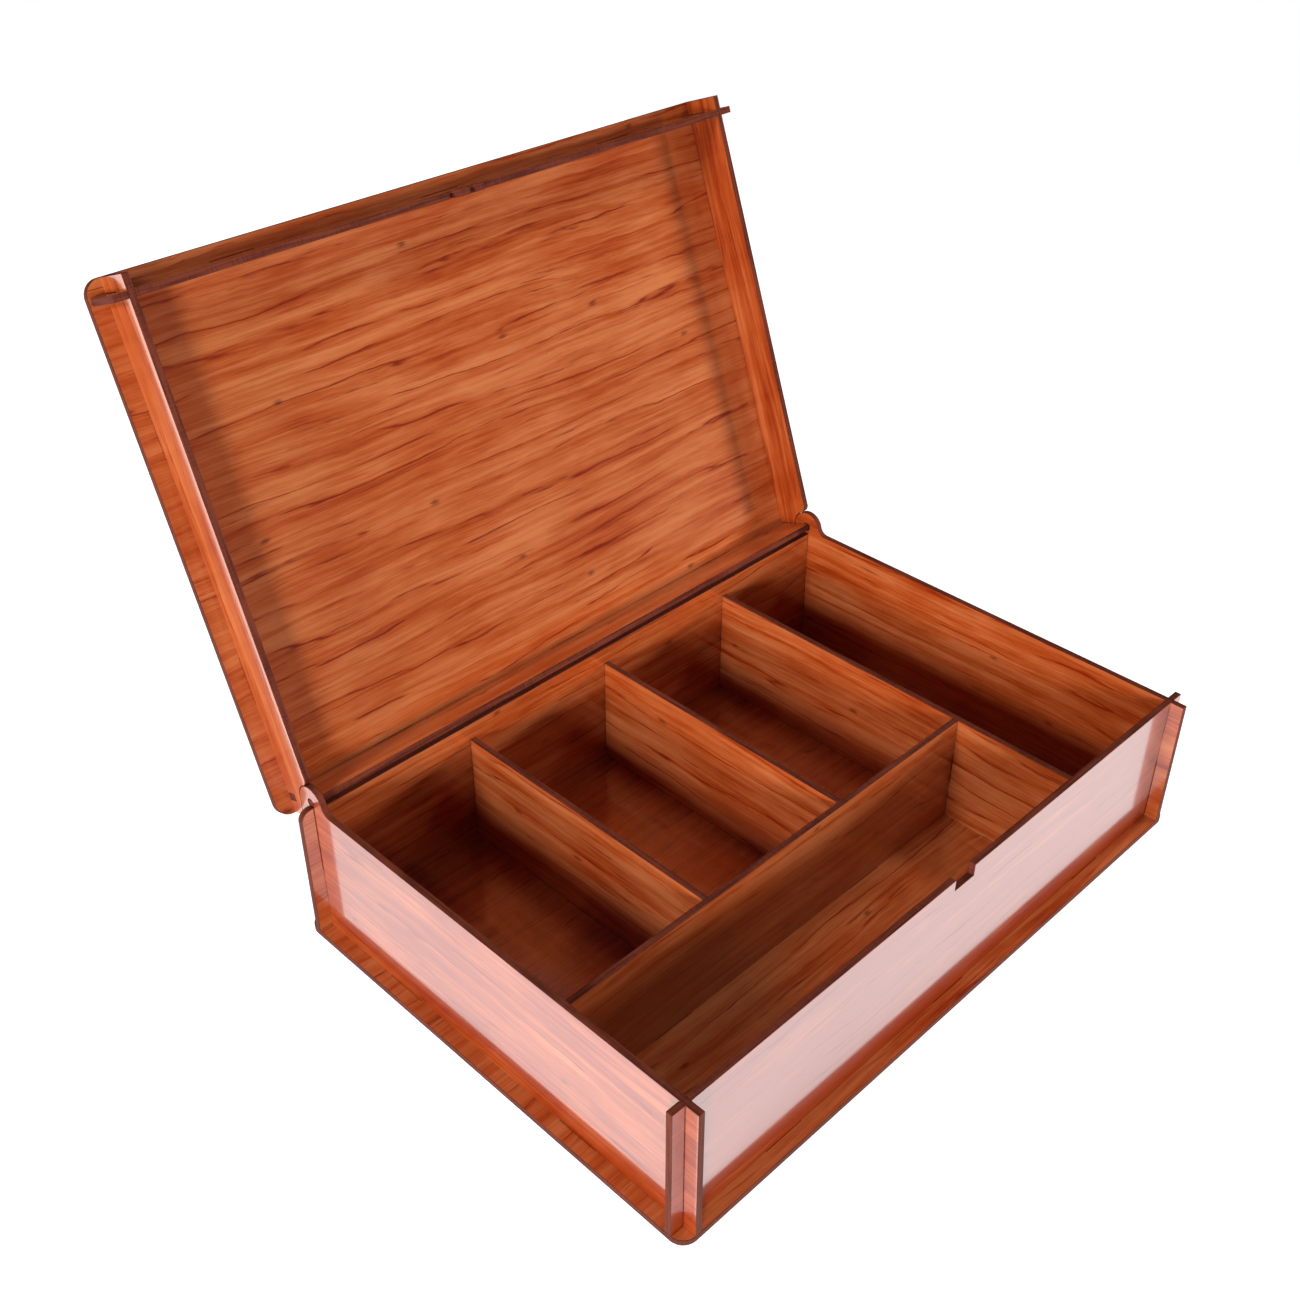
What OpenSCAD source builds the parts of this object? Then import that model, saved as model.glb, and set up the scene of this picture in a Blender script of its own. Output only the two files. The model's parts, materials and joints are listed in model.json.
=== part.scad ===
// Flat-pack sorting tray with a hinged lid: fourteen plywood panels, all cut
// from one sheet thickness and held by half laps, tabs in slots and two tab
// pivots. Millimetres, +Z up, front towards -Y.
// The origin is on the underside of the base plate, midway between the
// outer faces of the side panels and of the front and back walls.
// The lid is drawn closed and then turned back to its open rest position.

/* [Sheet] */
// Thickness of every panel
sheet_t = 3; // [2.5:0.1:4]
// Clearance on each side of a tab or a lap in its slot
fit_gap = 0.1; // [0.05:0.05:0.2]

/* [Tray] */
// Width over the outer faces of the two side panels
tray_w = 320; // [280:5:400]
// Depth over the outer faces of the front and back walls
tray_d = 217.5; // [200:0.5:300]
// Height of the rim above the ground
tray_h = 70; // [62:1:90]
// Length of the wall ends that stand out past each crossing corner
wall_end = 6.4; // [5:0.1:9]
// Overhang of the base plate past the outer faces of the walls
base_flange = 6.4; // [5:0.1:12]
// Radius of the base plate's corners
base_corner_r = 7; // [3:0.5:9]
// How far the back wall stays below the rim between the side panels
back_drop = 2; // [1:0.1:6]
// Radius of the rounded top of the back wall's outer ends
wall_end_r = 5; // [2:0.5:5]

/* [Dividers] */
// Height of the dividers above the base plate
divider_h = 56.5; // [30:0.5:56.5]
// Clear width of the three compartments behind the long divider
cell_w = 80.3; // [60:0.1:90]
// Clear depth of the long front compartment
front_cell_d = 64.5; // [40:0.5:100]
// Height of the tenon that locks the long divider into the full-depth one
tenon_h = 16; // [10:1:24]

/* [Lid] */
// Height of the lid walls, from free edge to the underside of the lid plate
lid_wall_h = 19.4; // [17:0.1:30]
// Gap between the tray's rim and the lid walls when the lid is shut
lid_gap = 0.3; // [0.2:0.05:0.6]
// Overhang of the lid plate past the side walls
lid_flange_side = 7.5; // [6.5:0.1:12]
// Radius of the lid plate's corners
lid_corner_r = 7; // [3:0.5:9]
// Opening angle of the lid at rest, measured from shut
lid_open = 110; // [95:1:112]

/* [Hinge] */
// Radius of the hollow curve between an ear and the rim
ear_fillet_r = 4.5; // [3:0.5:6]
// Radial clearance around the corners of the square hinge tabs
pivot_gap = 0.1; // [0.05:0.01:0.1]
// Clearance between the ears and the lid's side walls and back wall
ear_gap = 0.3; // [0.25:0.05:0.6]

/* [Latch] */
// Width of the notch in the front wall
notch_w = 12.6; // [10:0.2:20]
// Depth of the notch below the rim
notch_d = 5.7; // [4.5:0.1:8]
// Width of each of the two latch prongs
prong_w = 4.5; // [3:0.1:4.5]
// Clearance between the prongs and the notch
latch_gap = 0.3; // [0.2:0.05:0.5]
// Width of the relief slits beside the prongs
relief_w = 2.5; // [1:0.1:3]
// Depth of the slits above the free edge of the lid's front wall
relief_d = 5; // [3:0.5:8]

/* [Tabs] */
// Length of the tabs that pass through the base and lid plates
tab_l = 20; // [10:1:24]
// How far the tab ends stay short of the plates' outer faces
tab_short = 0.2; // [0:0.1:0.5]

/* [Hidden] */

// Tray, measured from its left, front and bottom
half_w = tray_w / 2;
half_d = tray_d / 2;
floor_z = sheet_t;
lap_z = (floor_z + tray_h) / 2;
back_top = tray_h - back_drop;
past = 1;

// Dividers, by the places of their left or front faces
short_1_x = sheet_t + cell_w;
short_2_x = short_1_x + sheet_t + cell_w;
full_x = short_2_x + sheet_t + cell_w;
long_y = sheet_t + front_cell_d;
divider_top = floor_z + divider_h;
tenon_z = floor_z + divider_h / 2 - tenon_h / 2;

// Hinge line, over the middle of the back wall, and the heights of the shut lid
hinge_y = tray_d - sheet_t / 2;
rear_y = tray_d + wall_end;
lid_bottom = tray_h + lid_gap;
lid_top = lid_bottom + lid_wall_h;
hinge_z = lid_bottom + sheet_t / 2;
hole_r = sheet_t * sqrt(2) / 2 + pivot_gap;
lid_back_y = hinge_y - sheet_t / 2;
lid_lap_z = (lid_bottom + lid_top) / 2;
ear_r = rear_y - hinge_y;
ear_clear_r = ear_r + ear_gap;
rear_lap_z = (hinge_z + ear_clear_r + lid_top) / 2;

// Centre of the hollow curve in front of an ear
fillet_z = tray_h + ear_fillet_r;
fillet_y = hinge_y - sqrt(pow(ear_r + ear_fillet_r, 2) - pow(fillet_z - hinge_z, 2));

$fn = 96;

// A block between two corners
module block(low, high) {
    translate(low) cube(high - low);
}

// A round bar along X between x0 and x1, at y and z
module bar_x(r, x0, x1, y, z) {
    translate([x0, y, z]) rotate([0, 90, 0]) cylinder(r = r, h = x1 - x0);
}

// A flat plate with rounded corners
module round_plate(low, high, r) {
    block([low.x + r, low.y, low.z], [high.x - r, high.y, high.z]);
    block([low.x, low.y + r, low.z], [high.x, high.y - r, high.z]);
    for (x = [low.x + r, high.x - r], y = [low.y + r, high.y - r])
        translate([x, y, low.z]) cylinder(r = r, h = high.z - low.z);
}

// Centres of the plate tabs along a wall from a to b
function tab_places(a, b, count) =
    [for (i = [0 : count - 1]) a + (b - a) * (i + 0.5) / count];

tabs_front = tab_places(sheet_t, tray_w - sheet_t, 3);
tabs_side = tab_places(sheet_t, tray_d - sheet_t, 2);
tabs_long = tab_places(sheet_t, full_x, 2);
tabs_short = tab_places(long_y + sheet_t, tray_d - sheet_t, 1);
tabs_lid_side = tab_places(sheet_t, lid_back_y, 2);

// Tabs, or with grow their slots, of walls that run along X or along Y
module tabs_x(places, y, z0, z1, grow = 0) {
    for (c = places)
        block([c - tab_l / 2 - grow, y - grow, z0], [c + tab_l / 2 + grow, y + sheet_t + grow, z1]);
}

module tabs_y(places, x, z0, z1, grow = 0) {
    for (c = places)
        block([x - grow, c - tab_l / 2 - grow, z0], [x + sheet_t + grow, c + tab_l / 2 + grow, z1]);
}

// Places a piece that is measured from the tray's left front corner
module in_tray() {
    translate([-half_w, -half_d, 0]) children();
}

// Turns a piece of the shut lid back about the hinge line
module in_lid() {
    in_tray()
        translate([0, hinge_y, hinge_z]) rotate([-lid_open, 0, 0]) translate([0, -hinge_y, -hinge_z])
            children();
}

module base_plate() {
    color("peru") in_tray() difference() {
        round_plate(
            [-base_flange, -base_flange, 0],
            [tray_w + base_flange, tray_d + base_flange, sheet_t], base_corner_r);
        tabs_x(tabs_front, 0, -past, floor_z + past, fit_gap);
        tabs_x(tabs_front, tray_d - sheet_t, -past, floor_z + past, fit_gap);
        tabs_y(tabs_side, 0, -past, floor_z + past, fit_gap);
        tabs_y(tabs_side, tray_w - sheet_t, -past, floor_z + past, fit_gap);
        tabs_x(tabs_long, long_y, -past, floor_z + past, fit_gap);
        tabs_y(tabs_side, full_x, -past, floor_z + past, fit_gap);
        for (x = [short_1_x, short_2_x])
            tabs_y(tabs_short, x, -past, floor_z + past, fit_gap);
    }
}

// Side panel between x0 and x0 + sheet_t, with its hinge ear at the rear
module side_panel(x0) {
    x1 = x0 + sheet_t;
    difference() {
        union() {
            block([x0, -wall_end, floor_z], [x1, hinge_y, tray_h]);
            block([x0, hinge_y - past, floor_z], [x1, rear_y, hinge_z]);
            bar_x(ear_r, x0, x1, hinge_y, hinge_z);
            difference() {
                block([x0, fillet_y, tray_h - past], [x1, hinge_y, fillet_z]);
                bar_x(ear_fillet_r, x0 - past, x1 + past, fillet_y, fillet_z);
                above_ear(x0 - past, x1 + past);
            }
            tabs_y(tabs_side, x0, tab_short, floor_z + past);
        }
        bar_x(hole_r, x0 - past, x1 + past, hinge_y, hinge_z);
        for (y = [0, tray_d - sheet_t])
            block([x0 - past, y - fit_gap, -past], [x1 + past, y + sheet_t + fit_gap, lap_z]);
    }
}

// What lies above the line from the fillet's centre to the hinge line
module above_ear(x0, x1) {
    translate([x0, 0, 0]) rotate([90, 0, 90]) linear_extrude(x1 - x0) polygon([
        [fillet_y, fillet_z],
        [hinge_y, hinge_z],
        [hinge_y + past, hinge_z],
        [hinge_y + past, fillet_z + past],
        [fillet_y, fillet_z + past]
    ]);
}

module left_side_panel() {
    color("sienna") in_tray() side_panel(0);
}

module right_side_panel() {
    color("sienna") in_tray() side_panel(tray_w - sheet_t);
}

// Slots that the side panels drop into, open at the top
module side_laps(y) {
    for (x = [0, tray_w - sheet_t])
        block([x - fit_gap, y - past, lap_z], [x + sheet_t + fit_gap, y + sheet_t + past, tray_h + past]);
}

module front_wall() {
    color("chocolate") in_tray() difference() {
        union() {
            block([-wall_end, 0, floor_z], [tray_w + wall_end, sheet_t, tray_h]);
            tabs_x(tabs_front, 0, tab_short, floor_z + past);
        }
        side_laps(0);
        block([half_w - notch_w / 2, -past, tray_h - notch_d], [half_w + notch_w / 2, sheet_t + past, tray_h + past]);
    }
}

module back_wall() {
    x0 = -wall_end;
    x1 = tray_w + wall_end;
    y = tray_d - sheet_t;
    color("chocolate") in_tray() difference() {
        union() {
            block([x0, y, floor_z], [x1, tray_d, tray_h - wall_end_r]);
            block([x0 + wall_end_r, y, floor_z], [x1 - wall_end_r, tray_d, tray_h]);
            for (x = [x0 + wall_end_r, x1 - wall_end_r])
                translate([x, tray_d, tray_h - wall_end_r]) rotate([90, 0, 0])
                    cylinder(r = wall_end_r, h = sheet_t);
            tabs_x(tabs_front, y, tab_short, floor_z + past);
        }
        side_laps(y);
        block([sheet_t, y - past, back_top], [tray_w - sheet_t, tray_d + past, tray_h + past]);
    }
}

module long_divider() {
    color("burlywood") in_tray() {
        block([sheet_t, long_y, floor_z], [full_x, long_y + sheet_t, divider_top]);
        block([full_x - past, long_y, tenon_z], [full_x + sheet_t, long_y + sheet_t, tenon_z + tenon_h]);
        tabs_x(tabs_long, long_y, tab_short, floor_z + past);
    }
}

module full_depth_divider() {
    color("tan") in_tray() difference() {
        union() {
            block([full_x, sheet_t, floor_z], [full_x + sheet_t, tray_d - sheet_t, divider_top]);
            tabs_y(tabs_side, full_x, tab_short, floor_z + past);
        }
        block(
            [full_x - past, long_y - fit_gap, tenon_z - fit_gap],
            [full_x + sheet_t + past, long_y + sheet_t + fit_gap, tenon_z + tenon_h + fit_gap]);
    }
}

// Short divider between the long divider and the back wall
module short_divider(x) {
    block([x, long_y + sheet_t, floor_z], [x + sheet_t, tray_d - sheet_t, divider_top]);
    tabs_y(tabs_short, x, tab_short, floor_z + past);
}

module left_short_divider() {
    color("tan") in_tray() short_divider(short_1_x);
}

module right_short_divider() {
    color("tan") in_tray() short_divider(short_2_x);
}

module lid_plate() {
    color("peru") in_lid() difference() {
        round_plate(
            [-lid_flange_side, -wall_end, lid_top],
            [tray_w + lid_flange_side, rear_y, lid_top + sheet_t], lid_corner_r);
        tabs_x(tabs_front, 0, lid_top - past, lid_top + sheet_t + past, fit_gap);
        tabs_x(tabs_front, lid_back_y, lid_top - past, lid_top + sheet_t + past, fit_gap);
        tabs_y(tabs_lid_side, 0, lid_top - past, lid_top + sheet_t + past, fit_gap);
        tabs_y(tabs_lid_side, tray_w - sheet_t, lid_top - past, lid_top + sheet_t + past, fit_gap);
    }
}

// Lid side wall between x0 and x0 + sheet_t, cut away round the ear and, behind
// it, along the line that meets the side panel's rear edge when the lid is open
module lid_side_wall(x0) {
    x1 = x0 + sheet_t;
    difference() {
        union() {
            block([x0, -wall_end, lid_bottom], [x1, rear_y, lid_top]);
            tabs_y(tabs_lid_side, x0, lid_top - past, lid_top + sheet_t - tab_short);
        }
        bar_x(ear_clear_r, x0 - past, x1 + past, hinge_y, hinge_z);
        difference() {
            block([x0 - past, fillet_y, lid_bottom - past], [x1 + past, hinge_y, fillet_z]);
            bar_x(ear_fillet_r - ear_gap / 2, x0 - 2 * past, x1 + 2 * past, fillet_y, fillet_z);
            above_ear(x0 - 2 * past, x1 + 2 * past);
        }
        translate([0, hinge_y, hinge_z]) rotate([lid_open, 0, 0])
            block([x0 - past, -ear_r, -lid_wall_h], [x1 + past, ear_r + fit_gap, 0]);
        block([x0 - past, -fit_gap, lid_lap_z], [x1 + past, sheet_t + fit_gap, lid_top + past]);
        block(
            [x0 - past, lid_back_y - fit_gap, rear_lap_z],
            [x1 + past, lid_back_y + sheet_t + fit_gap, lid_top + past]);
    }
}

module lid_left_wall() {
    color("sienna") in_lid() lid_side_wall(0);
}

module lid_right_wall() {
    color("sienna") in_lid() lid_side_wall(tray_w - sheet_t);
}

module lid_front_wall() {
    prongs_w = notch_w - 2 * latch_gap;
    tip_z = tray_h - notch_d + latch_gap;
    slit_w = prongs_w - 2 * prong_w;
    color("chocolate") in_lid() difference() {
        union() {
            block([-wall_end, 0, lid_bottom], [tray_w + wall_end, sheet_t, lid_top]);
            block([half_w - prongs_w / 2, 0, tip_z], [half_w + prongs_w / 2, sheet_t, lid_bottom + past]);
            tabs_x(tabs_front, 0, lid_top - past, lid_top + sheet_t - tab_short);
        }
        for (x = [0, tray_w - sheet_t])
            block([x - fit_gap, -past, lid_bottom - past], [x + sheet_t + fit_gap, sheet_t + past, lid_lap_z]);
        block([half_w - slit_w / 2, -past, tip_z - past], [half_w + slit_w / 2, sheet_t + past, lid_bottom + relief_d]);
        for (x = [-prongs_w / 2 - relief_w, prongs_w / 2])
            block([half_w + x, -past, tip_z - past], [half_w + x + relief_w, sheet_t + past, lid_bottom + relief_d]);
    }
}

module lid_back_wall() {
    y0 = lid_back_y;
    y1 = lid_back_y + sheet_t;
    color("chocolate") in_lid() {
        block([sheet_t + ear_gap, y0, lid_bottom], [tray_w - sheet_t - ear_gap, y1, lid_top]);
        block([0, y0, lid_bottom], [tray_w, y1, lid_bottom + sheet_t]);
        block([0, y0, rear_lap_z], [tray_w, y1, lid_top]);
        tabs_x(tabs_front, y0, lid_top - past, lid_top + sheet_t - tab_short);
    }
}

base_plate();
left_side_panel();
right_side_panel();
front_wall();
back_wall();
long_divider();
full_depth_divider();
left_short_divider();
right_short_divider();
lid_plate();
lid_left_wall();
lid_right_wall();
lid_front_wall();
lid_back_wall();
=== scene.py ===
import json
import math

import bmesh
import bpy
from mathutils import Matrix, Vector


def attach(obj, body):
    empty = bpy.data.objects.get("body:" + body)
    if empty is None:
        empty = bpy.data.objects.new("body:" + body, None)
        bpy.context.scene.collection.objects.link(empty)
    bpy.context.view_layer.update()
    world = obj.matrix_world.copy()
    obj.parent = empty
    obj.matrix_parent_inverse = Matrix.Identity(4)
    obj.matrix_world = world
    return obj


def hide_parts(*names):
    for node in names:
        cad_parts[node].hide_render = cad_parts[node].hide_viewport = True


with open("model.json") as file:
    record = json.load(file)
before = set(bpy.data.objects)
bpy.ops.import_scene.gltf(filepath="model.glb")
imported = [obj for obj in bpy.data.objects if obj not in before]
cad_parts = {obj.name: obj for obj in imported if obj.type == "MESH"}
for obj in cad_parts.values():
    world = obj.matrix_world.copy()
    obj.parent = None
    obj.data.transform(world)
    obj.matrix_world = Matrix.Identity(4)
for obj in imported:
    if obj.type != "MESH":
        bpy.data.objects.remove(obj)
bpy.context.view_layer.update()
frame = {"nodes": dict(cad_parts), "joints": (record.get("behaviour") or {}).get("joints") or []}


# The base board: one flat sheet of 3 mm plywood, faced with a reddish cherry veneer and
# varnished. A laser cuts it with rounded corners and with a slot for each wall's tabs, and
# leaves the cut edges dark. The walls stand in it, and it runs past them on all sides.

width_way = Vector((1, 0, 0))
depth_way = Vector((0, 1, 0))
height_way = Vector((0, 0, 1))


class Wire:
    """One output in a finish's node tree. Sums of wires add their own Math nodes."""

    def __init__(self, tree, socket=None):
        self.tree = tree
        self.socket = socket

    def node(self, kind, settings, inputs, output=0):
        made = self.tree.nodes.new(kind)
        for name, value in settings.items():
            setattr(made, name, value)
        for name, value in inputs.items():
            if isinstance(value, Wire):
                self.tree.links.new(value.socket, made.inputs[name])
            else:
                made.inputs[name].default_value = value
        return Wire(self.tree, made.outputs[output])

    def maths(self, operation, first, second):
        return self.node("ShaderNodeMath", {"operation": operation}, {0: first, 1: second})

    def __add__(self, other):
        return self.maths("ADD", self, other)

    def __sub__(self, other):
        return self.maths("SUBTRACT", self, other)

    def __rsub__(self, other):
        return self.maths("SUBTRACT", other, self)

    def __mul__(self, other):
        return self.maths("MULTIPLY", self, other)

    __radd__ = __add__
    __rmul__ = __mul__

    def alone(self, operation):
        return self.node("ShaderNodeMath", {"operation": operation}, {0: self})

    def either(self, other):
        return self.maths("MAXIMUM", self, other)

    def vector(self, operation, other):
        return self.node("ShaderNodeVectorMath", {"operation": operation}, {0: self, 1: other})

    def noise(self, per_metre, detail, roughness=0.5):
        """Noise with so many waves a metre with the grain, across it and through the sheet."""
        squeezed = self.vector("MULTIPLY", per_metre)
        return self.node(
            "ShaderNodeTexNoise", {"noise_dimensions": "3D"},
            {"Vector": squeezed, "Scale": 1.0, "Detail": detail, "Roughness": roughness})

    def streaks(self, long, wide, detail=2.0, roughness=0.5):
        """Noise drawn out along the grain: how long and how wide a streak is, in metres."""
        return self.noise((1 / long, 1 / wide, 1 / wide), detail, roughness)

    def between(self, low, high):
        """0 below low, 1 above high, and a soft step from one to the other."""
        return self.node(
            "ShaderNodeMapRange", {"interpolation_type": "SMOOTHSTEP"},
            {"Value": self, "From Min": low, "From Max": high})

    def over(self, below, above):
        """Colour above where this wire is 1, and below where it is 0."""
        # The node goes by number here: 0 is the share, 6 and 7 are the colours, 2 is the mix.
        return self.node(
            "ShaderNodeMix", {"data_type": "RGBA"}, {0: self, 6: below, 7: above}, output=2)


def feed(node, wires):
    """Each wire goes into the socket of the node that it is named for."""
    for socket, wire in wires.items():
        wire.tree.links.new(wire.socket, node.inputs[socket])


def board_pattern(finish, grain, across, place):
    """Object coordinates turned so that X runs with the grain and Z through the sheet."""
    turn = Matrix((grain, across, grain.cross(across))).to_euler()
    start = Wire(finish.node_tree)
    spot = start.node("ShaderNodeTexCoord", {}, {}, output="Object")
    return start.node(
        "ShaderNodeMapping", {"vector_type": "POINT"},
        {"Vector": spot, "Location": place, "Rotation": turn})


cherry_light = (0.610, 0.186, 0.062, 1)
cherry_mid = (0.430, 0.074, 0.013, 1)
cherry_deep = (0.255, 0.021, 0.001, 1)
vein_red = (0.185, 0.007, 0.0004, 1)
knot_brown = (0.060, 0.005, 0.0008, 1)

drift_reach = 0.008
quiver_reach = 0.0016
bands_per_metre = 95.0
bands_astray = 2.6
middle_tone = 0.54
knots_per_metre = (8.0, 18.0, 0.0)
grain_relief = 0.0002
varnish_haze = 0.11
varnish_ior = 2.6


def cherry_veneer(name, grain, across, place, tone_and_painted_shade):
    """Varnished cherry: wavy growth bands, long fibres, thin dark veins and a few small knots."""
    finish = bpy.data.materials.new(name)
    finish.use_nodes = True
    shell = finish.node_tree.nodes["Principled BSDF"]
    spot = board_pattern(finish, grain, across, place)

    # The grain wanders a few millimetres to either side as it runs along the board.
    drift = spot.streaks(0.120, 0.045) - 0.5
    quiver = spot.streaks(0.016, 0.0060, 3.0, 0.6) - 0.5
    aside = drift * drift_reach + quiver * quiver_reach
    wavy = spot.vector("ADD", spot.node("ShaderNodeCombineXYZ", {}, {"Y": aside}))

    # Growth bands lie side by side, and each fades in slowly and ends soon.
    level = wavy.node("ShaderNodeSeparateXYZ", {}, {0: wavy}, output="Y")
    growth = level * bands_per_metre + wavy.streaks(0.170, 0.017, 3.0, 0.55) * bands_astray
    ring = growth.alone("FRACT")
    band = ring.between(0.0, 0.75) - ring.between(0.80, 1.0)

    # The tone is the bands and four sizes of streak together, from 0 for dark to 1 for pale.
    broad = wavy.streaks(0.150, 0.0055, 6.0, 0.70)
    fine = wavy.streaks(0.070, 0.0017, 5.0, 0.72)
    fibres = wavy.streaks(0.024, 0.0006, 4.0, 0.66)
    clouds = spot.streaks(0.050, 0.020, 3.0, 0.55)
    # The tone starts lower by the board's own drop, which is painted shade on the front and left
    # side boards.
    tone = middle_tone - tone_and_painted_shade
    for layer, share in (
        (band, 0.12), (broad, 0.95), (fine, 0.85), (clouds, 0.80), (fibres, 0.55),
    ):
        tone = (layer - 0.5) * share + tone
    warm = tone.between(0.34, 0.92).over(cherry_mid, cherry_light)
    body = tone.between(0.06, 0.50).over(cherry_deep, warm)

    # Thin veins lie along the growth lines and come and go, wider streaks sit in patches.
    line = (ring - 0.5).alone("ABSOLUTE").between(0.435, 0.495)
    comes = wavy.streaks(0.050, 0.0075, 3.0, 0.6).between(0.47, 0.58)
    streak = wavy.streaks(0.055, 0.0017, 5.0, 0.72).between(0.58, 0.67)
    patch = spot.streaks(0.070, 0.018, 3.0).between(0.42, 0.60)
    veins = (line * comes * 0.88).either(streak * patch * 0.80)
    streaked = veins.over(body, vein_red)

    # A small knot sits in each cell of a loose net, and the fibres make its rim ragged.
    cells = wavy.vector("MULTIPLY", knots_per_metre)
    eye = spot.node(
        "ShaderNodeTexVoronoi", {"voronoi_dimensions": "2D", "feature": "F1"},
        {"Vector": cells, "Scale": 1.0})
    ragged = eye + (fibres - 0.5) * 0.05
    knots = (1 - ragged.between(0.004, 0.030)) * 0.62
    colour = knots.over(streaked, knot_brown)

    pores = wavy.streaks(0.012, 0.0005)
    relief = pores * 0.5 + fibres * 0.5 - veins * 0.4
    bump = spot.node(
        "ShaderNodeBump", {}, {"Strength": 0.25, "Distance": grain_relief, "Height": relief})
    rough = fibres * 0.16 + veins * 0.12 + 0.36
    feed(shell, {"Base Color": colour, "Roughness": rough, "Normal": bump})
    shell.inputs["Coat Weight"].default_value = 1.0
    shell.inputs["Coat Roughness"].default_value = varnish_haze
    shell.inputs["Coat IOR"].default_value = varnish_ior
    return finish


edge_brown = (0.150, 0.034, 0.019, 1)
edge_scorch = (0.072, 0.016, 0.010, 1)
plies_per_metre = (40.0, 40.0, 900.0)
kerf_per_metre = (2600.0, 2600.0, 160.0)
kerf_relief = 0.0001
bare_wood_shine = 0.22


def laser_edge(name, grain, across, place):
    """The cut edge of a sheet: matt and scorched, with its plies just showing."""
    finish = bpy.data.materials.new(name)
    finish.use_nodes = True
    shell = finish.node_tree.nodes["Principled BSDF"]
    spot = board_pattern(finish, grain, across, place)
    plies = spot.noise(plies_per_metre, 1.0)
    kerf = spot.noise(kerf_per_metre, 2.0)
    soot = (plies * 0.6 + kerf * 0.4).between(0.36, 0.62)
    colour = soot.over(edge_scorch, edge_brown)
    bump = spot.node(
        "ShaderNodeBump", {}, {"Strength": 0.3, "Distance": kerf_relief, "Height": kerf})
    rough = soot * 0.12 + 0.62
    feed(shell, {"Base Color": colour, "Roughness": rough, "Normal": bump})
    shell.inputs["Specular IOR Level"].default_value = bare_wood_shine
    return finish


slot_corners = 8
glue_line = 0.00009


def glue_slots(board, grain, across):
    """Glue fills the hair's breadth that every slot in a sheet leaves round its tab."""
    through = grain.cross(across)
    walls = {face for face in board.faces if abs(face.normal.dot(through)) < 0.5}
    while walls:
        # One wall leads to the rest of its own slot or outline, from edge to edge.
        rim, reached = [], [walls.pop()]
        while reached:
            wall = reached.pop()
            rim.append(wall)
            beside = {face for edge in wall.edges for face in edge.link_faces} & walls
            walls -= beside
            reached += beside
        corners = {corner for wall in rim for corner in wall.verts}
        if len(corners) == slot_corners:
            middle = sum((corner.co for corner in corners), Vector()) / slot_corners
            for corner in corners:
                for way in (grain, across):
                    corner.co -= way * math.copysign(glue_line, (corner.co - middle).dot(way))


same_corner = 0.000005
same_plane = math.radians(0.4)
arris_turn = math.radians(40)
crisp_turn = math.radians(12)
sanded_edge = 0.00022
faces_flat = 0.99


def cut_board(node, piece, body, slot, grain, across, place, tone_and_painted_shade=0.0):
    """One panel: the frame's own shape, merged, with sanded arrises and two finishes.

    Its veneer is cut from the wood at place, and the last argument takes its tone down, as the
    wood's own tone on most boards and as painted shade on the front and left side boards.
    """
    through = grain.cross(across)
    board = bmesh.new()
    board.from_mesh(frame["nodes"][node].data)
    bmesh.ops.remove_doubles(board, verts=board.verts, dist=same_corner)
    bmesh.ops.dissolve_limit(
        board, angle_limit=same_plane, use_dissolve_boundaries=False,
        verts=board.verts, edges=board.edges)
    if slot == "plates":
        glue_slots(board, grain, across)
    arrises = [edge for edge in board.edges if edge.calc_face_angle(0) > arris_turn]
    bmesh.ops.bevel(
        board, geom=arrises, offset=sanded_edge, offset_type="OFFSET", affect="EDGES",
        segments=2, profile=0.5, material=-1, clamp_overlap=True)
    for face in board.faces:
        face.smooth = True
        face.material_index = 0 if abs(face.normal.dot(through)) > faces_flat else 1
    skin = bpy.data.meshes.new(piece)
    board.to_mesh(skin)
    board.free()
    skin.set_sharp_from_angle(angle=crisp_turn)
    skin.materials.append(cherry_veneer(f"cherry_on_{piece}", grain, across, place, tone_and_painted_shade))
    skin.materials.append(laser_edge(f"cut_edge_of_{piece}", grain, across, place))
    panel = bpy.data.objects.new(piece, skin)
    bpy.context.scene.collection.objects.link(panel)
    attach(panel, body)
    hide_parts(node)


cut_board("base_plate", "base_board", "tray", "plates", width_way, depth_way, (0.31, 0.12, 0.02))


# The two side walls: upright boards with the grain running front to back. Each ends behind
# in a round ear with the lid's pivot hole, and drops over the front and back walls in half
# laps, so that its ends stand out past the corners.

# The left side board's veneer is taken down as painted shade, to darken its outer face; the right
# one's small drop is the wood's own tone.
for node, piece, place, tone_and_painted_shade in (
    ("left_side_panel", "left_side_board", (0.10, 0.43, 0.30), 0.28),
    ("right_side_panel", "right_side_board", (0.52, 0.21, 0.71), 0.06),
):
    cut_board(node, piece, "tray", "walls", depth_way, height_way, place, tone_and_painted_shade)


# The front and back walls: long boards with the grain along the box. The front one has the
# latch notch cut into the middle of its rim, and the back one is cut lower between the
# sides, where the lid turns over it.

# The front board's veneer is taken far down as painted shade, to darken its outer face; the back
# board's small drop is the wood's own tone.
for node, piece, place, tone_and_painted_shade in (
    ("front_wall", "front_board", (0.64, 0.05, 0.44), 0.46),
    ("back_wall", "back_board", (0.23, 0.66, 0.13), 0.06),
):
    cut_board(node, piece, "tray", "walls", width_way, height_way, place, tone_and_painted_shade)


# The dividers: lower boards of the same sheet, slotted into the base. The long one locks
# into the full-depth one with a tenon, and two short ones part the space behind it.

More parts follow.
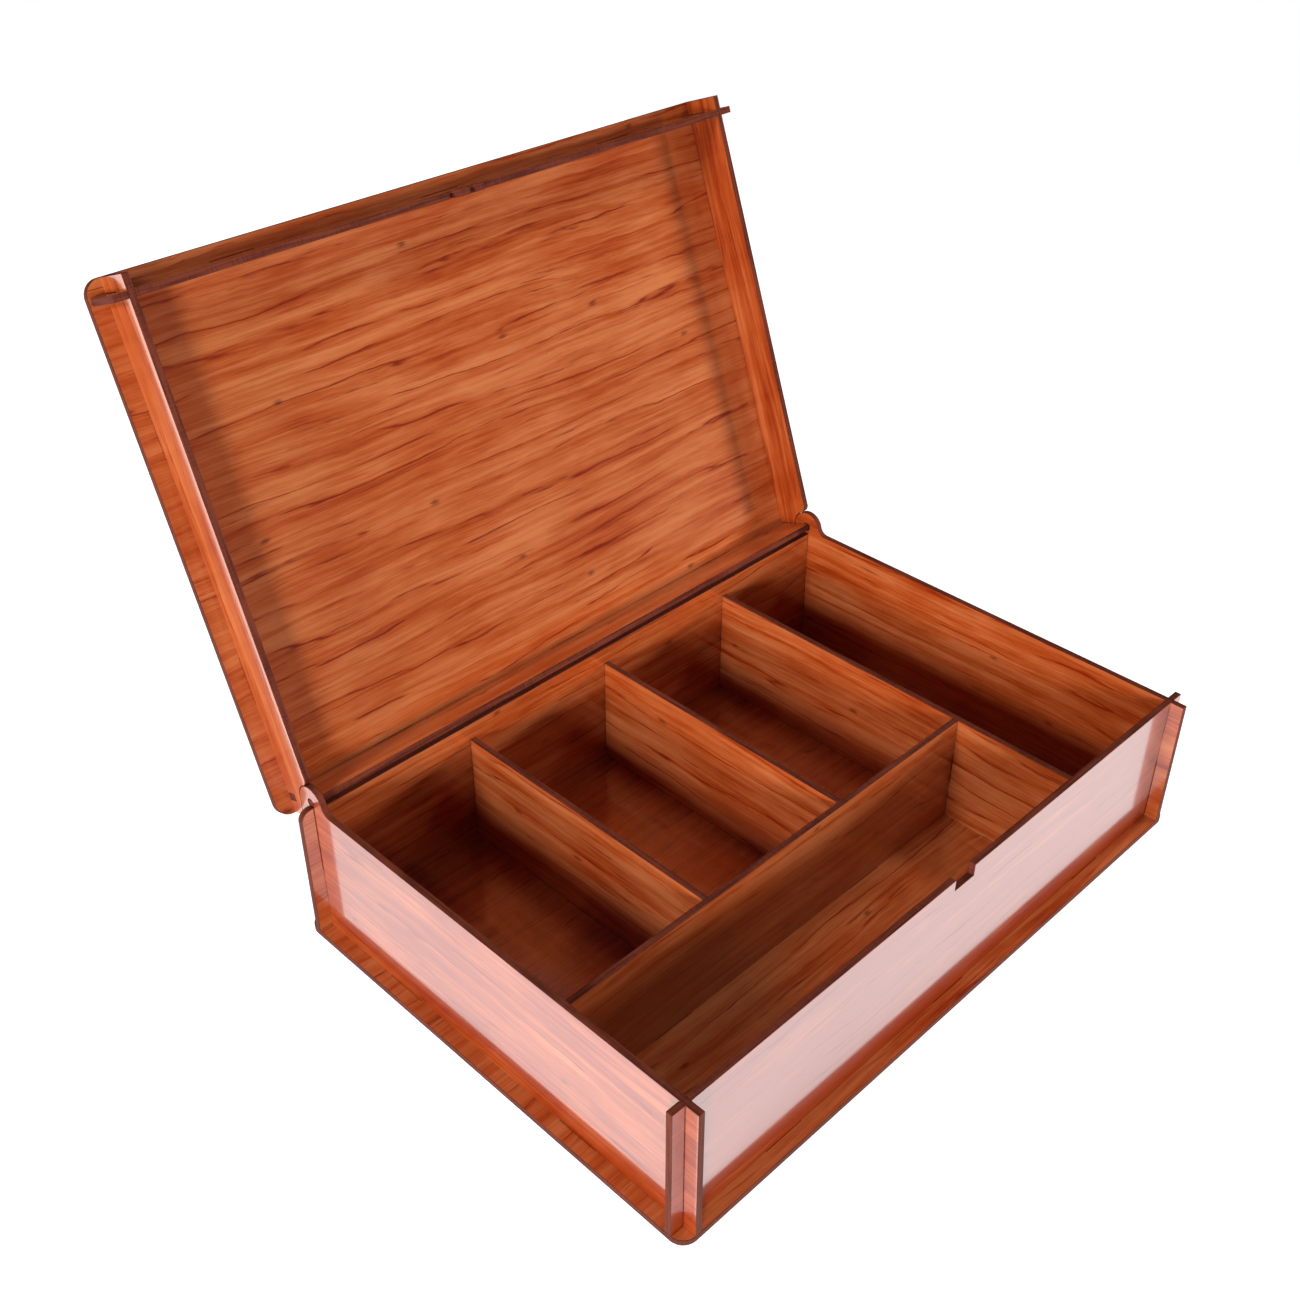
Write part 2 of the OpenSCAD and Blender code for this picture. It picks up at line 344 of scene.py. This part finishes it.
cut_board(
    "long_divider", "long_front_divider", "tray", "dividers",
    width_way, height_way, (0.37, 0.88, 0.57))
for node, piece, place in (
    ("full_depth_divider", "front_to_back_divider", (0.71, 0.34, 0.92)),
    ("left_short_divider", "short_divider_left", (0.19, 0.57, 0.36)),
    ("right_short_divider", "short_divider_right", (0.83, 0.76, 0.18)),
):
    cut_board(node, piece, "tray", "dividers", depth_way, height_way, place)


# The lid: a flat board and four low walls, tabbed into it. It is made shut and stands open
# here, so its own depth and height lie turned back by the hinge's whole travel. The grain
# of the board and of its long walls runs along the box, that of the side walls with depth.

opened = math.radians(frame["joints"][0]["range_deg"][1])
lid_depth_way = Vector((0, math.cos(opened), -math.sin(opened)))
lid_height_way = Vector((0, math.sin(opened), math.cos(opened)))

cut_board("lid_plate", "lid_board", "lid", "plates", width_way, lid_depth_way, (0.48, 0.39, 0.65))
for node, piece, place in (
    ("lid_front_wall", "lid_front_rail", (0.16, 0.27, 0.84)),
    ("lid_back_wall", "lid_back_rail", (0.91, 0.11, 0.39)),
):
    cut_board(node, piece, "lid", "walls", width_way, lid_height_way, place)
for node, piece, place, tone_and_painted_shade in (
    ("lid_left_wall", "lid_left_rail", (0.55, 0.93, 0.27), 0.06),
    ("lid_right_wall", "lid_right_rail", (0.34, 0.62, 0.78), 0.20),
):
    cut_board(node, piece, "lid", "walls", lid_depth_way, lid_height_way, place, tone_and_painted_shade)


# The studio: a round white table and soft lamps to the left and to the right, most of them
# low. The table shows white to the camera and in the varnish, and keeps the tray's shadow.

table_reach = 1.15
table_sunk = 0.0005
table = bmesh.new()
bmesh.ops.create_circle(table, cap_ends=True, segments=96, radius=table_reach)
table_skin = bpy.data.meshes.new("table_top")
table.to_mesh(table_skin)
table.free()
table_top = bpy.data.objects.new("table_top", table_skin)
table_top.location = (0, 0, -table_sunk)
bpy.context.scene.collection.objects.link(table_top)

white = (1, 1, 1, 1)
table_grey = (0.6, 0.6, 0.6, 1)
glow_in_view = 0.85
glow_in_varnish = 0.93
table_white = bpy.data.materials.new("table_white")
table_white.use_nodes = True
table_white.node_tree.nodes.remove(table_white.node_tree.nodes["Principled BSDF"])
table_start = Wire(table_white.node_tree)
seen = table_start.node("ShaderNodeLightPath", {}, {}, output="Is Camera Ray")
mirrored = table_start.node("ShaderNodeLightPath", {}, {}, output="Is Glossy Ray")
glow = table_start.node(
    "ShaderNodeEmission", {},
    {"Color": white, "Strength": seen * glow_in_view + mirrored * glow_in_varnish})
matt = table_start.node("ShaderNodeBsdfDiffuse", {}, {"Color": table_grey})
both = table_start.node("ShaderNodeAddShader", {}, {0: glow, 1: matt})
feed(table_white.node_tree.nodes["Material Output"], {"Surface": both})
table_skin.materials.append(table_white)

# The room is white behind the table in the picture, and gives the tray next to no light.
room_fill = 0.02
room = bpy.data.worlds.new("dim_room")
bpy.context.scene.world = room
room.use_nodes = True
room_start = Wire(room.node_tree)
in_view = room_start.node("ShaderNodeLightPath", {}, {}, output="Is Camera Ray")
backdrop = room.node_tree.nodes["Background"]
backdrop.inputs["Color"].default_value = white
feed(backdrop, {"Strength": in_view * (1.0 - room_fill) + room_fill})

# Each softbox by the way it stands from the tray: degrees round from the right-hand side,
# degrees above the table, and the light that it gives a white card facing it.
softbox_far = 2.4
softbox_wide = 0.50
tray_middle = Vector((0, 0.03, 0.08))
for name, round_to, up, light in (
    ("left_softbox", 180, 27, 0.77),
    ("low_left_softbox", 214, 8, 0.85),
    ("low_right_softbox", 327, 8, 0.88),
    ("high_right_softbox", 345, 50, 0.34),
):
    lamp = bpy.data.lights.new(name, "AREA")
    lamp.shape = "DISK"
    lamp.size = softbox_wide
    lamp.energy = light * math.pi ** 2 * softbox_far ** 2
    holder = bpy.data.objects.new(name, lamp)
    turned, raised = math.radians(round_to), math.radians(up)
    aim = Vector((
        math.cos(raised) * math.cos(turned), math.cos(raised) * math.sin(turned),
        math.sin(raised)))
    holder.location = tray_middle + aim * softbox_far
    holder.rotation_euler = aim.to_track_quat("Z", "Y").to_euler()
    holder.visible_camera = False
    holder.visible_glossy = False
    bpy.context.scene.collection.objects.link(holder)

# The camera stands off the front left corner and looks down in an isometric direction.
lens = bpy.data.cameras.new("three_quarter_view")
lens.sensor_width = 36
lens.angle = math.radians(45)
camera = bpy.data.objects.new("three_quarter_view", lens)
camera.location = (-0.41083, -0.34275, 0.50025)
camera.rotation_euler = (math.radians(54.7356), 0, math.radians(-45))
bpy.context.scene.collection.objects.link(camera)
bpy.context.scene.camera = camera
bpy.context.scene.view_settings.view_transform = "Standard"
